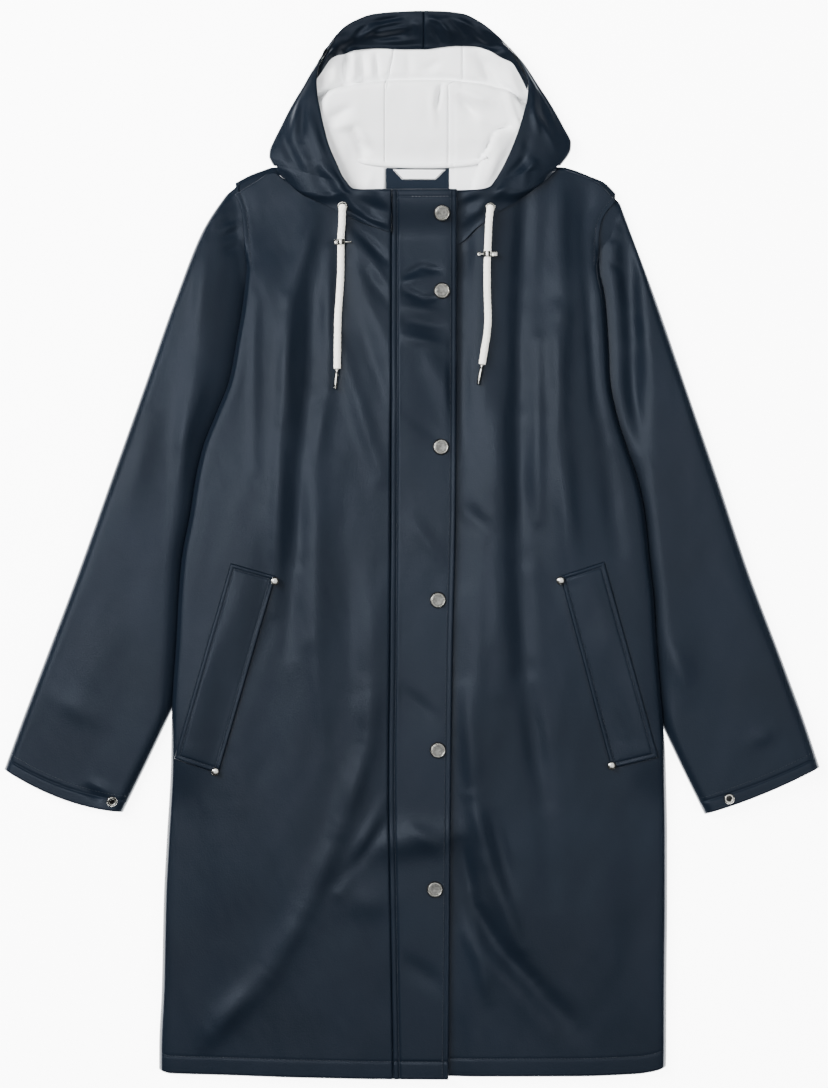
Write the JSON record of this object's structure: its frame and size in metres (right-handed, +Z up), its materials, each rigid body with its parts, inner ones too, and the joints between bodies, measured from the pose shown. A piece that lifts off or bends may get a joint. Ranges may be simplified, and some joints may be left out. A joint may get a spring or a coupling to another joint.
{
  "type": "hooded raincoat",
  "caption": "Hooded snap-front raincoat laid flat on its back, with sleeves half under the body, angled welt pockets and a drawstring hood.",
  "frame": {"origin": "centre of the bounding box's base, on the surface the coat lies on", "axes": "+Y from the hem to the top of the hood, +X to the right of the coat as seen from above, +Z up off the surface"},
  "size_m": [0.8172, 1.0684, 0.025],
  "materials": {
    "coated_cloth": "satin-matte coated cloth, dark navy outside, white knit inside",
    "dark_facing": "the same cloth, coated side showing",
    "label_tape": "plain white woven tape",
    "nickel": "satin nickel plate",
    "cotton_cord": "off-white braided cotton"
  },
  "bodies": {
    "root": {"back_panel": "coated_cloth", "front_right": "coated_cloth", "front_left": "coated_cloth", "placket": "coated_cloth", "sleeve_right": "coated_cloth", "sleeve_left": "coated_cloth", "hood_side_right": "coated_cloth", "hood_side_left": "coated_cloth", "hood_centre": "coated_cloth", "pocket_welt_right": "coated_cloth", "pocket_welt_left": "coated_cloth", "hood_facing_right": "dark_facing", "hood_facing_left": "dark_facing", "back_neck_facing": "dark_facing", "label": "label_tape", "rivet_right_top": "nickel", "rivet_right_bottom": "nickel", "rivet_left_top": "nickel", "rivet_left_bottom": "nickel", "snap_1": "nickel", "snap_2": "nickel", "snap_3": "nickel", "snap_4": "nickel", "snap_5": "nickel", "snap_6": "nickel", "cuff_snap_right": "nickel", "cuff_snap_left": "nickel", "eyelet_right": "nickel", "eyelet_left": "nickel", "cord_clip_right": "nickel", "cord_clip_left": "nickel", "cord_tip_right": "nickel", "cord_tip_left": "nickel", "cord_right": "cotton_cord", "cord_left": "cotton_cord"}
  },
  "joints": []
}
